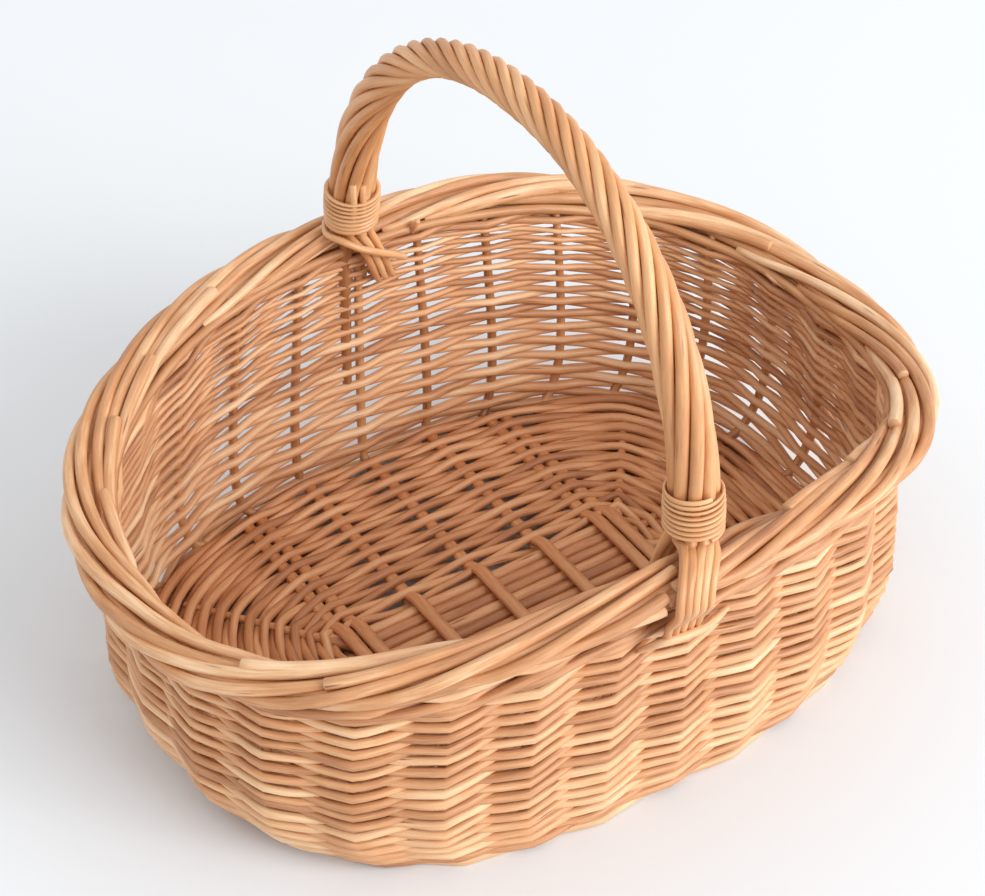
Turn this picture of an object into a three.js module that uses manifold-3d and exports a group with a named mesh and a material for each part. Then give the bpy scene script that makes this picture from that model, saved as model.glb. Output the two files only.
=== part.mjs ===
// An oval willow basket: a randed oval base on slit cross sticks, randed sides on upright stakes,
// a thick rod border, and a bow handle wrapped like a rope and bound with cane at both feet.
// Millimetres, +Z up, +X along the basket, origin on the floor under the middle of the rim.

import * as THREE from 'three';
import { mergeVertices } from 'three/addons/utils/BufferGeometryUtils.js';
import Module from 'manifold-3d';

const wasm = await Module();
wasm.setup();

// Clearance between pieces that touch on the real basket
const FIT = 0.3;

// Edges shorter than this are dropped after a cut
const SHORTEST_EDGE = 0.2;

// Plan of the rim and of the base: half-axes and squareness of their superellipses,
// and how far the rim reaches out over the base at the ends and at the sides
const RIM_HALF_LENGTH = 221;
const RIM_HALF_WIDTH = 164;
const RIM_SQUARENESS = 2.38;
const END_FLARE = 48;
const SIDE_FLARE = 22;
const BASE_SQUARENESS = 2.72;

// Height of the rim beside the handle, and how much lower it is at the two ends
const RIM_HEIGHT = 163.5;
const RIM_DIP = 34;

// Form of the wall between base and border: a tight foot, then a slight belly
const FOOT_ROUNDNESS = 9;
const BELLY = 0.13;

// Stakes: the uprights inside the wall, thicker at the foot
const STAKE_COUNT = 28;
const STAKE_FOOT_RADIUS = 2.9;
const STAKE_TOP_RADIUS = 2.2;
const STAKE_FOOT_LENGTH = 24;
const STAKE_SIDES = 5;

// Siding: how far the randing stands off the stake line in front of a stake, behind one and midway
// between two, and the number of its courses, of which every second one passes in front of a stake
const SIDING_RIDGE = 7.5;
const SIDING_RECESS = 5.2;
const SIDING_VALLEY = 2.4;
const SIDING_COURSES = 9;

// Wales: the rings of heavier weaving at the foot and at the top of the wall
const UPSETT_HEIGHT = 15;
const UPSETT_INSET = 10;
const UPSETT_SOLE = 3;
const UPSETT_ROUNDING = 1;
const UPSETT_BEND_DROP = 2;
const TOP_WALE_HEIGHT = 20;
const TOP_WALE_STANDOFF = 8;

// Border: an oval section of slanting rods round the top of the wall
const BORDER_HALF_WIDTH = 14;
const BORDER_HALF_HEIGHT = 9;
const BORDER_OVERHANG = 16;
const BORDER_STRANDS = 5;
const BORDER_TURNS = 5;
const BORDER_GROOVE = 0.16;

// Base: a bundle of long rods through slit cross sticks, with the weave round them
const BASE_THICKNESS = 11;
const BASE_LIFT = 4;
const BASE_EDGE_BAND = 26;
const LONG_ROD_COUNT = 7;
const LONG_ROD_RADIUS = 3.2;
const CROSS_STICK_RADIUS = 4;
const BASE_END_FAN = 92;
const SLIT_TAPER = 9;

// Handle: the bow, the strands that wrap it and the cane bindings at its feet
const HANDLE_X = 0;
const HANDLE_SKEW = 4.4;
const HANDLE_TOP = 330;
const ARCH_SQUARENESS = 2.15;
const BOW_TOP_RADIUS = 4.3;
const BOW_FOOT_RADIUS = 5.2;
const BOW_NECK_RADIUS = 3.6;
const BOW_TIP_RADIUS = 2.6;
const BOW_TIP_HEIGHT = 62;
const BOW_STAKE_GAP = 1.6;
const BOW_INSET = 2;
const BOW_SIDES = 8;
const STRAND_COUNT = 8;
const STRAND_TOP_RADIUS = 2.1;
const STRAND_FOOT_RADIUS = 2.9;
const STRAND_TIP_RADIUS = 1.5;
const STRAND_TWIST_STEPS = 24;
const STRAND_TWIST_BUNCHING = 0.8;
const STRAND_LANE = 7.6;
const STRAND_LEAN = 12;
const STRAND_CLOSING = 1.4;
const STRAND_SAG = 0.3;
const STRAND_TUCK_OUTSIDE = 28;
const STRAND_TUCK_INSIDE = 14;
const STRAND_STEPS = 30;
const STRAND_SIDES = 5;
const BINDING_LOOPS = 8;
const BINDING_SPACING = 2.7;
const CANE_HALF_WIDTH = 0.9;
const CANE_HALF_THICKNESS = 0.8;
const CANE_SIDES = 4;
const BINDING_STEPS = 12;
const BINDING_SAG = 0.6;
const BINDING_LIFT = 3;

// Values that follow from the sizes above
const BASE_HALF_LENGTH = RIM_HALF_LENGTH - END_FLARE;
const BASE_HALF_WIDTH = RIM_HALF_WIDTH - SIDE_FLARE;
const BORDER_MID_LENGTH = RIM_HALF_LENGTH - BORDER_HALF_WIDTH;
const BORDER_MID_WIDTH = RIM_HALF_WIDTH - BORDER_HALF_WIDTH;
const WALL_TOP_LENGTH = RIM_HALF_LENGTH - BORDER_OVERHANG - SIDING_RIDGE;
const WALL_TOP_WIDTH = RIM_HALF_WIDTH - BORDER_OVERHANG - SIDING_RIDGE;
const WALL_FOOT_LENGTH = BASE_HALF_LENGTH - UPSETT_SOLE;
const WALL_FOOT_WIDTH = BASE_HALF_WIDTH - UPSETT_SOLE;
const WALL_HEIGHT = RIM_HEIGHT - 2 * BORDER_HALF_HEIGHT;
const BASE_MID = BASE_LIFT + BASE_THICKNESS / 2;
const BUNDLE_PITCH = 2 * LONG_ROD_RADIUS + FIT;
const BUNDLE_HALF_WIDTH = (LONG_ROD_COUNT * BUNDLE_PITCH) / 2;
const CROSS_STICK_SPACING = (WALL_FOOT_LENGTH - BASE_END_FAN) / 2;
const STICK_PAIR_HALF_GAP = CROSS_STICK_RADIUS + FIT;

const X_AXIS = new THREE.Vector3(1, 0, 0);
const basket = new THREE.Group();

// A point of a superellipse, with an exponent of 2 for an ellipse and more for a squarer oval
function superellipse(angle, halfLength, halfWidth, squareness) {
  const power = 2 / squareness;
  const c = Math.cos(angle);
  const s = Math.sin(angle);
  return new THREE.Vector2(
    halfLength * Math.sign(c) * Math.abs(c) ** power,
    halfWidth * Math.sign(s) * Math.abs(s) ** power,
  );
}

// How much lower the rim is at this angle than beside the handle
function rimDip(angle) {
  return RIM_DIP * superellipse(angle, 1, 1, RIM_SQUARENESS).x ** 2;
}

function wallHeight(angle) {
  return WALL_HEIGHT - rimDip(angle);
}

// The oval on which the stakes stand, at a share of the wall's height
function stakeOval(angle, share) {
  const rise = Math.min(Math.max(share, 0), 1);
  const spread = (1 - (1 - rise) ** FOOT_ROUNDNESS) * (1 + BELLY * Math.sin(Math.PI * rise));
  return superellipse(
    angle,
    THREE.MathUtils.lerp(WALL_FOOT_LENGTH, WALL_TOP_LENGTH, spread),
    THREE.MathUtils.lerp(WALL_FOOT_WIDTH, WALL_TOP_WIDTH, spread),
    THREE.MathUtils.lerp(BASE_SQUARENESS, RIM_SQUARENESS, rise),
  );
}

function outwardNormal(oval, angle) {
  const step = 1e-3;
  const along = oval(angle + step).sub(oval(angle - step)).normalize();
  return new THREE.Vector2(along.y, -along.x);
}

// A point of the wall: its angle, its height over the floor and its distance outside the stake line
function wallPoint(angle, height, out) {
  const share = height / wallHeight(angle);
  const oval = (a) => stakeOval(a, share);
  const plan = oval(angle).addScaledVector(outwardNormal(oval, angle), out);
  return new THREE.Vector3(plan.x, plan.y, height);
}

// A point of the base: its angle, its height and its distance outside the foot of the stake line
function basePoint(angle, height, out) {
  const oval = (a) => stakeOval(a, 0);
  const plan = oval(angle).addScaledVector(outwardNormal(oval, angle), out);
  return new THREE.Vector3(plan.x, plan.y, height);
}

// Angles that split the wall, halfway up, into equal lengths, starting at its +X end
function evenAngles(count) {
  const samples = 2880;
  const lengths = [0];
  let before = stakeOval(0, 0.5);
  for (let i = 1; i <= samples; i += 1) {
    const point = stakeOval((2 * Math.PI * i) / samples, 0.5);
    lengths.push(lengths[i - 1] + point.distanceTo(before));
    before = point;
  }
  const angles = [];
  let i = 0;
  for (let k = 0; k < count; k += 1) {
    const target = (lengths[samples] * k) / count;
    while (lengths[i + 1] < target) i += 1;
    const part = (target - lengths[i]) / (lengths[i + 1] - lengths[i]);
    angles.push((2 * Math.PI * (i + part)) / samples);
  }
  return angles;
}

// A body through a row of rings of points, closed on itself or capped at both ends
function loft(rings, closed) {
  const sides = rings[0].length;
  const positions = rings.flat().flatMap((p) => [p.x, p.y, p.z]);
  const indices = [];
  const spans = closed ? rings.length : rings.length - 1;
  for (let i = 0; i < spans; i += 1) {
    const here = i * sides;
    const next = ((i + 1) % rings.length) * sides;
    for (let j = 0; j < sides; j += 1) {
      const k = (j + 1) % sides;
      indices.push(here + j, here + k, next + k, here + j, next + k, next + j);
    }
  }
  if (!closed) {
    const last = (rings.length - 1) * sides;
    for (let j = 1; j < sides - 1; j += 1) {
      indices.push(0, j + 1, j, last, last + j, last + j + 1);
    }
  }
  const geometry = new THREE.BufferGeometry();
  geometry.setAttribute('position', new THREE.Float32BufferAttribute(positions, 3));
  geometry.setIndex(indices);
  return faceOut(geometry);
}

// Turns every face over when the body is inside out
function faceOut(geometry) {
  const p = geometry.getAttribute('position');
  const index = geometry.getIndex().array;
  const corners = [new THREE.Vector3(), new THREE.Vector3(), new THREE.Vector3()];
  let volume = 0;
  for (let i = 0; i < index.length; i += 3) {
    corners.forEach((corner, k) => corner.fromBufferAttribute(p, index[i + k]));
    volume += corners[0].dot(corners[1].clone().cross(corners[2]));
  }
  if (volume < 0) {
    for (let i = 0; i < index.length; i += 3) {
      [index[i + 1], index[i + 2]] = [index[i + 2], index[i + 1]];
    }
  }
  return geometry;
}

// The rings of a rod along a row of points: an oval section carried along without twist
function rodRings(points, radius, sides, firstSide, flatness = 1, firstTurn = 0) {
  const rings = [];
  let side = firstSide.clone();
  points.forEach((point, i) => {
    const before = points[Math.max(i - 1, 0)];
    const after = points[Math.min(i + 1, points.length - 1)];
    const along = after.clone().sub(before).normalize();
    side = side.clone().addScaledVector(along, -side.dot(along)).normalize();
    const other = along.clone().cross(side);
    const r = radius(i / (points.length - 1));
    const ring = [];
    for (let j = 0; j < sides; j += 1) {
      const turn = firstTurn + (2 * Math.PI * j) / sides;
      ring.push(point.clone()
        .addScaledVector(side, r * Math.cos(turn))
        .addScaledVector(other, r * flatness * Math.sin(turn)));
    }
    rings.push(ring);
  });
  return rings;
}

function rod(points, radius, sides, firstSide) {
  return loft(rodRings(points, radius, sides, firstSide), false);
}

// Solids for cutting: into the cutter and back
function solid(geometry) {
  const bare = geometry.clone();
  bare.deleteAttribute('normal');
  bare.deleteAttribute('uv');
  const merged = mergeVertices(bare, 1e-4);
  return new wasm.Manifold(new wasm.Mesh({
    numProp: 3,
    vertProperties: new Float32Array(merged.getAttribute('position').array),
    triVerts: new Uint32Array(merged.getIndex().array),
  }));
}

function fromSolid(body) {
  const mesh = body.getMesh();
  const geometry = new THREE.BufferGeometry();
  geometry.setAttribute('position', new THREE.BufferAttribute(new Float32Array(mesh.vertProperties), 3));
  geometry.setIndex(new THREE.BufferAttribute(new Uint32Array(mesh.triVerts), 1));
  return geometry;
}

// Takes the cutters out of a body, and drops edges too short to matter
function cut(geometry, cutters) {
  const body = cutters.reduce((rest, cutter) => rest.subtract(cutter), solid(geometry));
  return fromSolid(body.simplify(SHORTEST_EDGE));
}

function add(name, geometry, color, roughness = 0.62) {
  geometry.computeVertexNormals();
  const mesh = new THREE.Mesh(geometry, new THREE.MeshStandardMaterial({ color, roughness, metalness: 0 }));
  mesh.name = name;
  basket.add(mesh);
}

// Stakes: from the edge of the base, round the foot of the wall and up to the border
const stakeAngles = evenAngles(STAKE_COUNT);

function stakePath(angle) {
  const top = wallHeight(angle);
  const path = [
    basePoint(angle, BASE_MID, -UPSETT_INSET - STAKE_FOOT_LENGTH),
    basePoint(angle, BASE_MID, -UPSETT_INSET / 2),
    wallPoint(angle, UPSETT_HEIGHT - UPSETT_BEND_DROP, 0),
  ];
  for (const share of [0.25, 0.6]) path.push(wallPoint(angle, share * top, 0));
  path.push(wallPoint(angle, top + FIT, 0));
  return path;
}

function stakeRod(angle, clearance) {
  const across = wallPoint(angle + 0.01, BASE_MID, 0).sub(wallPoint(angle - 0.01, BASE_MID, 0)).normalize();
  const path = stakePath(angle);
  const spare = clearance / Math.cos(Math.PI / STAKE_SIDES);
  const radius = (share) => THREE.MathUtils.lerp(STAKE_FOOT_RADIUS, STAKE_TOP_RADIUS, share) + spare;
  const count = path.length;
  path[0].addScaledVector(path[1].clone().sub(path[0]).normalize(), -clearance);
  path[count - 1].addScaledVector(path[count - 1].clone().sub(path[count - 2]).normalize(), clearance);
  return rod(path, radius, STAKE_SIDES, across);
}

const stakeHoles = stakeAngles.map((angle) => solid(stakeRod(angle, FIT)));

stakeAngles.forEach((angle, i) => {
  add(`stake_${String(i + 1).padStart(2, '0')}`, stakeRod(angle, 0), 0xb98450);
});

// Handle: 0 at its feet and 1 at its top, for a share of the way along its arch
function footToTop(share) {
  return THREE.MathUtils.smoothstep(Math.min(share, 1 - share), 0.07, 0.4);
}

function archBowRadius(share) {
  return THREE.MathUtils.lerp(BOW_FOOT_RADIUS, BOW_TOP_RADIUS, footToTop(share));
}

function strandRadius(share) {
  return THREE.MathUtils.lerp(STRAND_FOOT_RADIUS, STRAND_TOP_RADIUS, footToTop(share));
}

// How far a strand's middle lies from the middle of the bow
function strandOrbit(share) {
  return archBowRadius(share) + FIT + STRAND_SAG + strandRadius(share);
}

// Arch: half a superellipse over the two walls, with its back foot towards -X and its front foot towards +X
const archFootHeight = RIM_HEIGHT - BORDER_HALF_HEIGHT / 2;
const archRise = HANDLE_TOP - strandOrbit(0.5) - strandRadius(0.5) - archFootHeight;
const archHalfWidth = WALL_TOP_WIDTH - BOW_INSET;
const archStart = 0.04;
const archPoints = [];
for (let i = 0; i <= 24; i += 1) {
  const turn = THREE.MathUtils.lerp(archStart, Math.PI - archStart, i / 24);
  const point = superellipse(turn, archHalfWidth, archRise, ARCH_SQUARENESS);
  const skew = HANDLE_SKEW * Math.cos(turn);
  archPoints.push(new THREE.Vector3(HANDLE_X - skew, point.x, archFootHeight + point.y));
}
const arch = new THREE.CatmullRomCurve3(archPoints);

// A point round the arch, at an angle that is 0 on its outer side
function roundArch(share, distance, turn) {
  const outward = arch.getTangentAt(share).cross(X_AXIS).normalize();
  return arch.getPointAt(share)
    .addScaledVector(outward, distance * Math.cos(turn))
    .addScaledVector(X_AXIS, -distance * Math.sin(turn));
}

// Bow: the arch, with tapered ends pushed down into both long walls beside a stake
const bowTailOffset = STAKE_FOOT_RADIUS + BOW_STAKE_GAP + BOW_NECK_RADIUS;

function bowTail(side) {
  const sideAngle = (side * Math.PI) / 2;
  const top = wallHeight(sideAngle);
  const heights = [BOW_TIP_HEIGHT, (BOW_TIP_HEIGHT + top - TOP_WALE_HEIGHT) / 2, top - TOP_WALE_HEIGHT, top];
  return heights.map((height) => {
    const across = wallPoint(sideAngle, height, 0).y;
    return new THREE.Vector3(-side * bowTailOffset, across, height);
  });
}

const bowPoints = [...bowTail(1), ...archPoints, ...bowTail(-1).reverse()];
const tailCount = bowTail(1).length;

function bowRadius(i) {
  const fromEnd = Math.min(i, bowPoints.length - 1 - i);
  if (fromEnd < tailCount) {
    return THREE.MathUtils.lerp(BOW_TIP_RADIUS, BOW_NECK_RADIUS, fromEnd / (tailCount - 1));
  }
  return archBowRadius((i - tailCount) / (archPoints.length - 1));
}

function bow(clearance) {
  const last = bowPoints.length - 1;
  const points = bowPoints.map((p) => p.clone());
  const spare = clearance / Math.cos(Math.PI / BOW_SIDES);
  points[0].z -= clearance;
  points[last].z -= clearance;
  return rod(points, (share) => bowRadius(Math.round(share * last)) + spare, BOW_SIDES, X_AXIS);
}

const bowHole = solid(bow(FIT));
add('handle_bow', bow(0), 0xa87443);

// Siding: a closed shell of courses that pass in front of one stake and behind the next
const wallAngles = evenAngles(2 * STAKE_COUNT);
const sidingRings = wallAngles.map((angle, i) => {
  const bottom = UPSETT_HEIGHT + FIT;
  const top = wallHeight(angle) - TOP_WALE_HEIGHT - FIT;
  const outside = [];
  const inside = [];
  for (let course = 0; course <= SIDING_COURSES; course += 1) {
    const height = THREE.MathUtils.lerp(bottom, top, course / SIDING_COURSES);
    const onStake = i % 2 === 0;
    const inFront = (i / 2 + course) % 2 === 0;
    const outer = inFront ? SIDING_RIDGE : SIDING_RECESS;
    const inner = inFront ? SIDING_RECESS : SIDING_RIDGE;
    outside.push(wallPoint(angle, height, onStake ? outer : SIDING_VALLEY));
    inside.unshift(wallPoint(angle, height, onStake ? -inner : -SIDING_VALLEY));
  }
  return [...outside, ...inside];
});
add('siding', cut(loft(sidingRings, true), [...stakeHoles, bowHole]), 0xcf9a5e);

// Upsett wale: the ring at the foot of the wall, flat where it stands on the floor
const upsettRings = wallAngles.map((angle) => [
  basePoint(angle, 0, -UPSETT_INSET + FIT),
  basePoint(angle, 0, UPSETT_SOLE),
  wallPoint(angle, UPSETT_HEIGHT / 4, SIDING_RIDGE - UPSETT_ROUNDING),
  wallPoint(angle, UPSETT_HEIGHT, SIDING_RIDGE),
  wallPoint(angle, UPSETT_HEIGHT, -SIDING_RIDGE),
  basePoint(angle, UPSETT_HEIGHT - UPSETT_BEND_DROP, -UPSETT_INSET + FIT),
]);
add('upsett_wale', cut(loft(upsettRings, true), stakeHoles), 0xbf8850);

// Top wale: the band between the siding and the border
const topWaleRings = wallAngles.map((angle) => {
  const top = wallHeight(angle) - FIT;
  const bottom = top - TOP_WALE_HEIGHT + FIT;
  return [
    wallPoint(angle, bottom, TOP_WALE_STANDOFF),
    wallPoint(angle, top, TOP_WALE_STANDOFF),
    wallPoint(angle, top, -TOP_WALE_STANDOFF),
    wallPoint(angle, bottom, -TOP_WALE_STANDOFF),
  ];
});
add('top_wale', cut(loft(topWaleRings, true), [...stakeHoles, bowHole]), 0xc9955b);

// Border: slanting strands as lobes that wind round an oval section
const borderAngles = evenAngles(3 * STAKE_COUNT);
const borderOval = (angle) => superellipse(angle, BORDER_MID_LENGTH, BORDER_MID_WIDTH, RIM_SQUARENESS);
const borderRings = borderAngles.map((angle, i) => {
  const middle = borderOval(angle);
  const normal = outwardNormal(borderOval, angle);
  const height = RIM_HEIGHT - BORDER_HALF_HEIGHT - rimDip(angle);
  const wind = (2 * Math.PI * BORDER_TURNS * i) / borderAngles.length;
  const ring = [];
  for (let j = 0; j < 2 * BORDER_STRANDS; j += 1) {
    const turn = (Math.PI * j) / BORDER_STRANDS;
    const lobe = 1 - (j % 2) * BORDER_GROOVE;
    const out = lobe * BORDER_HALF_WIDTH * Math.cos(turn + wind);
    const up = lobe * BORDER_HALF_HEIGHT * Math.sin(turn + wind);
    ring.push(new THREE.Vector3(middle.x + normal.x * out, middle.y + normal.y * out, height + up));
  }
  return ring;
});
add('border', cut(loft(borderRings, true), [bowHole]), 0xd09c60);

// Base bundle: straight long rods side by side
const rodHalfLength = WALL_FOOT_LENGTH - UPSETT_INSET - BASE_EDGE_BAND;

function longRod(i) {
  const geometry = new THREE.CylinderGeometry(LONG_ROD_RADIUS, LONG_ROD_RADIUS, 2 * rodHalfLength, 8);
  geometry.rotateZ(Math.PI / 2);
  geometry.translate(0, (i - (LONG_ROD_COUNT - 1) / 2) * BUNDLE_PITCH, BASE_MID);
  return geometry;
}

// Cross sticks: slit in the middle, so that the bundle passes through between two half rounds
const stickBevel = 1.2;
const stickPlaces = [
  -2 * CROSS_STICK_SPACING - STICK_PAIR_HALF_GAP,
  -2 * CROSS_STICK_SPACING + STICK_PAIR_HALF_GAP,
  -CROSS_STICK_SPACING,
  0,
  CROSS_STICK_SPACING,
  2 * CROSS_STICK_SPACING - STICK_PAIR_HALF_GAP,
  2 * CROSS_STICK_SPACING + STICK_PAIR_HALF_GAP,
];

function stickHalfLength(x) {
  const share = Math.abs(x) / WALL_FOOT_LENGTH;
  const edge = WALL_FOOT_WIDTH * (1 - share ** BASE_SQUARENESS) ** (1 / BASE_SQUARENESS);
  return edge - UPSETT_INSET - BASE_EDGE_BAND;
}

function crossStick(x, clearance, slit) {
  const half = stickHalfLength(x) + clearance;
  const radius = CROSS_STICK_RADIUS + clearance;
  const slitHalf = LONG_ROD_RADIUS + FIT;
  const swell = slitHalf + CROSS_STICK_RADIUS + clearance;
  const wide = BUNDLE_HALF_WIDTH + clearance;
  const shape = new THREE.Shape();
  shape.moveTo(-half, -radius);
  shape.lineTo(-wide - SLIT_TAPER, -radius);
  shape.lineTo(-wide, -swell);
  shape.lineTo(wide, -swell);
  shape.lineTo(wide + SLIT_TAPER, -radius);
  shape.lineTo(half, -radius);
  shape.lineTo(half, radius);
  shape.lineTo(wide + SLIT_TAPER, radius);
  shape.lineTo(wide, swell);
  shape.lineTo(-wide, swell);
  shape.lineTo(-wide - SLIT_TAPER, radius);
  shape.lineTo(-half, radius);
  shape.closePath();
  if (slit) {
    const eye = new THREE.Path();
    eye.moveTo(-wide - SLIT_TAPER, 0);
    eye.lineTo(-wide, slitHalf);
    eye.lineTo(wide, slitHalf);
    eye.lineTo(wide + SLIT_TAPER, 0);
    eye.lineTo(wide, -slitHalf);
    eye.lineTo(-wide, -slitHalf);
    eye.closePath();
    shape.holes.push(eye);
  }
  const geometry = new THREE.ExtrudeGeometry(shape, {
    depth: 2 * (radius - (slit ? stickBevel : 0)),
    bevelThickness: stickBevel,
    bevelSize: stickBevel,
    bevelOffset: -stickBevel,
    bevelSegments: 1,
    bevelEnabled: slit,
  });
  geometry.translate(0, 0, (slit ? stickBevel : 0) - radius);
  const turn = new THREE.Matrix4().makeBasis(
    new THREE.Vector3(0, 1, 0),
    new THREE.Vector3(0, 0, 1),
    new THREE.Vector3(1, 0, 0),
  );
  geometry.applyMatrix4(turn);
  geometry.translate(x, 0, BASE_MID);
  return geometry;
}

for (let i = 0; i < LONG_ROD_COUNT; i += 1) {
  add(`base_long_rod_${i + 1}`, longRod(i), 0xb47e4c);
}
stickPlaces.forEach((x, i) => {
  add(`base_cross_stick_${i + 1}`, fromSolid(solid(crossStick(x, 0, true))), 0xa06d3e);
});
const stickHoles = stickPlaces.map((x) => solid(crossStick(x, FIT, false)));

// Base weave: the randed oval, open along the middle where the bundle lies bare
const weaveShape = new THREE.Shape(wallAngles.map((angle) => {
  const edge = basePoint(angle, 0, -UPSETT_INSET);
  return new THREE.Vector2(edge.x, edge.y);
}));
const bareHalfLength = stickPlaces[stickPlaces.length - 1] + CROSS_STICK_RADIUS + FIT;
const bareHalfWidth = BUNDLE_HALF_WIDTH + FIT;
weaveShape.holes.push(new THREE.Path([
  new THREE.Vector2(-bareHalfLength, -bareHalfWidth),
  new THREE.Vector2(-bareHalfLength, bareHalfWidth),
  new THREE.Vector2(bareHalfLength, bareHalfWidth),
  new THREE.Vector2(bareHalfLength, -bareHalfWidth),
]));
const weave = new THREE.ExtrudeGeometry(weaveShape, { depth: BASE_THICKNESS, bevelEnabled: false });
weave.translate(0, 0, BASE_LIFT);
const bundleSlot = new THREE.BoxGeometry(
  2 * (rodHalfLength + FIT),
  2 * bareHalfWidth,
  2 * (LONG_ROD_RADIUS + FIT),
);
bundleSlot.translate(0, 0, BASE_MID);
add('base_weave', cut(weave, [...stakeHoles, ...stickHoles, solid(bundleSlot)]), 0xb9824c);

// Strands: how far they have wound round the bow, slow at the feet and quick at the top
const strandTurn = (2 * Math.PI) / STRAND_COUNT;

function strandWinding(share) {
  return share - (STRAND_TWIST_BUNCHING * Math.sin(2 * Math.PI * share)) / (2 * Math.PI);
}

// Shares of the arch for a strand's steps, closer together where it winds quickly
const strandShares = [];
for (let i = 0; i <= STRAND_STEPS; i += 1) {
  let low = 0;
  let high = 1;
  for (let k = 0; k < 30; k += 1) {
    const share = (low + high) / 2;
    const progress = 0.35 * share + 0.65 * strandWinding(share);
    if (progress < i / STRAND_STEPS) low = share;
    else high = share;
  }
  strandShares.push((low + high) / 2);
}

// Strand foot, from the handle to the tip: aslant over the border or down inside it,
// then in against the wall, where the tips draw together
function strandFoot(side, turn) {
  const wrapped = Math.atan2(Math.sin(turn), Math.cos(turn));
  const outside = Math.cos(turn) > -0.1;
  const lane = outside ? -wrapped / strandTurn : -Math.sign(Math.round(Math.sin(turn) * 10));
  const x = HANDLE_X - side * HANDLE_SKEW + lane * STRAND_LANE;
  const lean = side * STRAND_LEAN - lane * STRAND_CLOSING;
  const sign = outside ? 1 : -1;
  const middle = RIM_HEIGHT - BORDER_HALF_HEIGHT;
  const edge = BORDER_HALF_WIDTH + STRAND_FOOT_RADIUS + FIT;
  const sideAngle = (side * Math.PI) / 2;
  const byBorder = (out, height, share) => {
    return new THREE.Vector3(x + share * lean, side * (BORDER_MID_WIDTH + out), height);
  };
  const byWall = (height, standoff, share) => {
    const across = wallPoint(sideAngle, height, sign * (standoff + FIT)).y;
    return new THREE.Vector3(x + share * lean, across, height);
  };
  const path = [];
  if (outside) {
    if (Math.abs(lane) > 1.5) {
      path.push(byBorder(-0.2 * edge, RIM_HEIGHT + STRAND_FOOT_RADIUS + 2 * FIT, 0.1));
    }
    path.push(byBorder(0.42 * edge, RIM_HEIGHT + 0.8 * STRAND_FOOT_RADIUS, 0.4));
    path.push(byBorder(0.9 * edge, middle + 0.9 * BORDER_HALF_HEIGHT, 0.65));
    path.push(byBorder(edge, middle, 0.75));
    path.push(byBorder(0.9 * edge, middle - 0.9 * BORDER_HALF_HEIGHT, 0.82));
  } else {
    path.push(byBorder(archHalfWidth - strandOrbit(0) - BORDER_MID_WIDTH, middle, 0.15));
  }
  const besideWale = WALL_HEIGHT - (outside ? TOP_WALE_HEIGHT : FIT);
  path.push(byWall(besideWale, TOP_WALE_STANDOFF + STRAND_FOOT_RADIUS, outside ? 0.95 : 0.3));
  const tuck = outside ? STRAND_TUCK_OUTSIDE : STRAND_TUCK_INSIDE;
  path.push(byWall(WALL_HEIGHT - tuck, TOP_WALE_STANDOFF + STRAND_TIP_RADIUS, outside ? 1 : 0.5));
  return path;
}

for (let k = 0; k < STRAND_COUNT; k += 1) {
  const startTurn = k * strandTurn;
  const endTurn = startTurn + STRAND_TWIST_STEPS * strandTurn;
  const back = strandFoot(1, startTurn).reverse();
  const front = strandFoot(-1, endTurn);
  const round = strandShares.map((share) => {
    const turn = startTurn + STRAND_TWIST_STEPS * strandTurn * strandWinding(share);
    return roundArch(share, strandOrbit(share), turn);
  });
  const points = [...back, ...round, ...front];
  const taper = (steps, count) => THREE.MathUtils.lerp(STRAND_TIP_RADIUS, STRAND_FOOT_RADIUS, steps / count);
  const radii = [
    ...back.map((_, i) => taper(i, back.length)),
    ...strandShares.map(strandRadius),
    ...front.map((_, i) => taper(front.length - 1 - i, front.length)),
  ];
  const radius = (share) => radii[Math.round(share * (radii.length - 1))];
  add(`handle_strand_${k + 1}`, rod(points, radius, STRAND_SIDES, X_AXIS), 0xd6a56b);
}

// Bindings: one length of flat cane wound round all strands, just above the border
const bindingOrbit = strandOrbit(0) + strandRadius(0) + FIT + CANE_HALF_THICKNESS + BINDING_SAG;
const archLength = arch.getLength();

function bindingPath(startShare) {
  const points = [];
  const steps = BINDING_LOOPS * BINDING_STEPS;
  for (let i = 0; i <= steps; i += 1) {
    const share = startShare + (BINDING_SPACING * i) / BINDING_STEPS / archLength;
    points.push(roundArch(share, bindingOrbit, (2 * Math.PI * i) / BINDING_STEPS));
  }
  return points;
}

// The least space between two turns of a binding, from middle line to middle line less the cane's width
function leastGap(points) {
  let least = Infinity;
  for (let i = 0; i < points.length; i += 1) {
    for (let j = i + BINDING_STEPS / 2; j < points.length; j += 1) {
      least = Math.min(least, points[i].distanceTo(points[j]));
    }
  }
  return least - 2 * CANE_HALF_WIDTH;
}

const bindingLength = (BINDING_LOOPS * BINDING_SPACING) / archLength;
const bindingRise = BINDING_LIFT / archLength;
const bindingStarts = { back: bindingRise, front: 1 - bindingRise - bindingLength };
for (const [place, start] of Object.entries(bindingStarts)) {
  const points = bindingPath(start);
  console.log(`handle_binding_${place}: least gap between turns ${leastGap(points).toFixed(2)} mm`);
  const along = arch.getTangentAt(start);
  const flatness = CANE_HALF_THICKNESS / CANE_HALF_WIDTH;
  const corner = CANE_HALF_WIDTH * Math.SQRT2;
  const rings = rodRings(points, () => corner, CANE_SIDES, along, flatness, Math.PI / CANE_SIDES);
  add(`handle_binding_${place}`, loft(rings, false), 0xdfb070, 0.4);
}

export default basket;
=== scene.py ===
# The looks of the oval willow basket: every woven rod as its own rod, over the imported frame.
# Sizes are written in millimetres, as in the part's source, and turned into metres when a mesh is made.

import math

import bpy
import numpy as np
from mathutils import Matrix, Vector


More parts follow.
